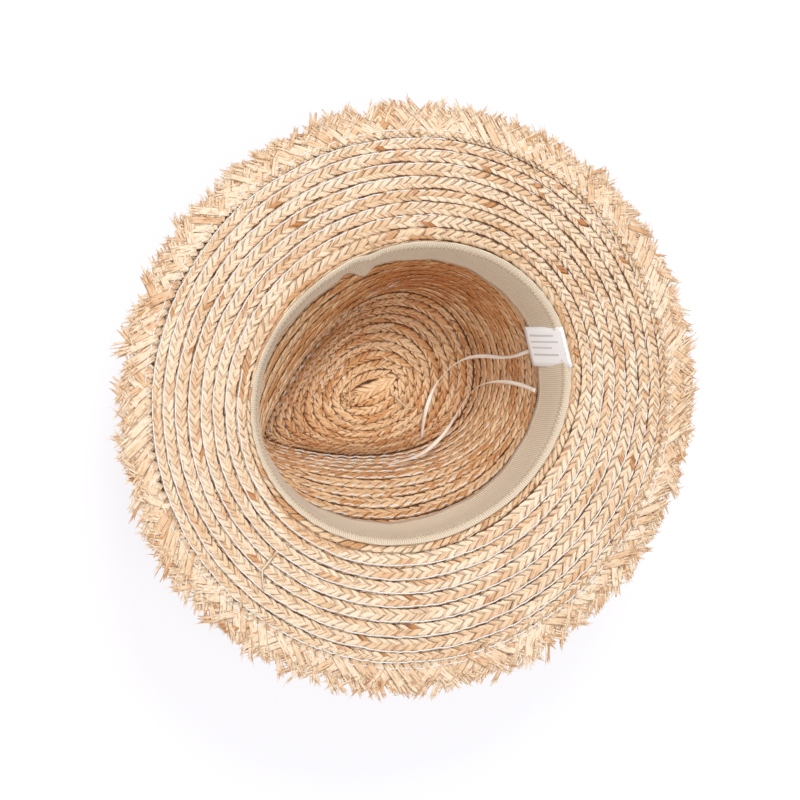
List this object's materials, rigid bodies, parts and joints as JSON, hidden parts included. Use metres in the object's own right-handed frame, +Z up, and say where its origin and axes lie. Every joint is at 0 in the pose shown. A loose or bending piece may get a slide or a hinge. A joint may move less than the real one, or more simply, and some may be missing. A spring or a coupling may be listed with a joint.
{
  "type": "straw sun hat",
  "caption": "Raffia sun hat lying on its crown: spiral braid, dented teardrop tip, flat brim with a frayed lattice edge, ribbed sweatband, drawstring and tag.",
  "frame": {"origin": "on the surface the hat lies on, under the middle of the brim", "axes": "+Z up out of the head opening, away from the crown; +Y towards the back, where the label and the drawstring's ends are; -Y towards the pinched front"},
  "size_m": [0.339, 0.347, 0.1086],
  "materials": {
    "raffia": "matt natural straw, woven in slanted strands",
    "seam_thread": "white twisted sewing thread",
    "grosgrain": "beige ribbed grosgrain ribbon",
    "band_thread": "beige polyester sewing thread",
    "satin_ribbon": "narrow off-white satin ribbon",
    "label_satin": "white printed satin"
  },
  "bodies": {
    "root": {"tip_centre_knot": "raffia", "crown_tip_braid": "raffia", "crown_side_braid": "raffia", "brim_braid": "raffia", "edge_lattice": "raffia", "edge_fringe": "raffia", "tip_seam_thread": "seam_thread", "side_seam_thread": "seam_thread", "brim_seam_thread": "seam_thread", "edge_seam_thread": "seam_thread", "sweatband": "grosgrain", "sweatband_back_seam": "band_thread", "sweatband_channel_stitching": "band_thread", "sweatband_edge_stitching": "band_thread", "drawstring_loop": "satin_ribbon", "drawstring_tail_left": "satin_ribbon", "drawstring_tail_right": "satin_ribbon", "care_label": "label_satin", "label_stitching": "seam_thread"}
  },
  "joints": []
}
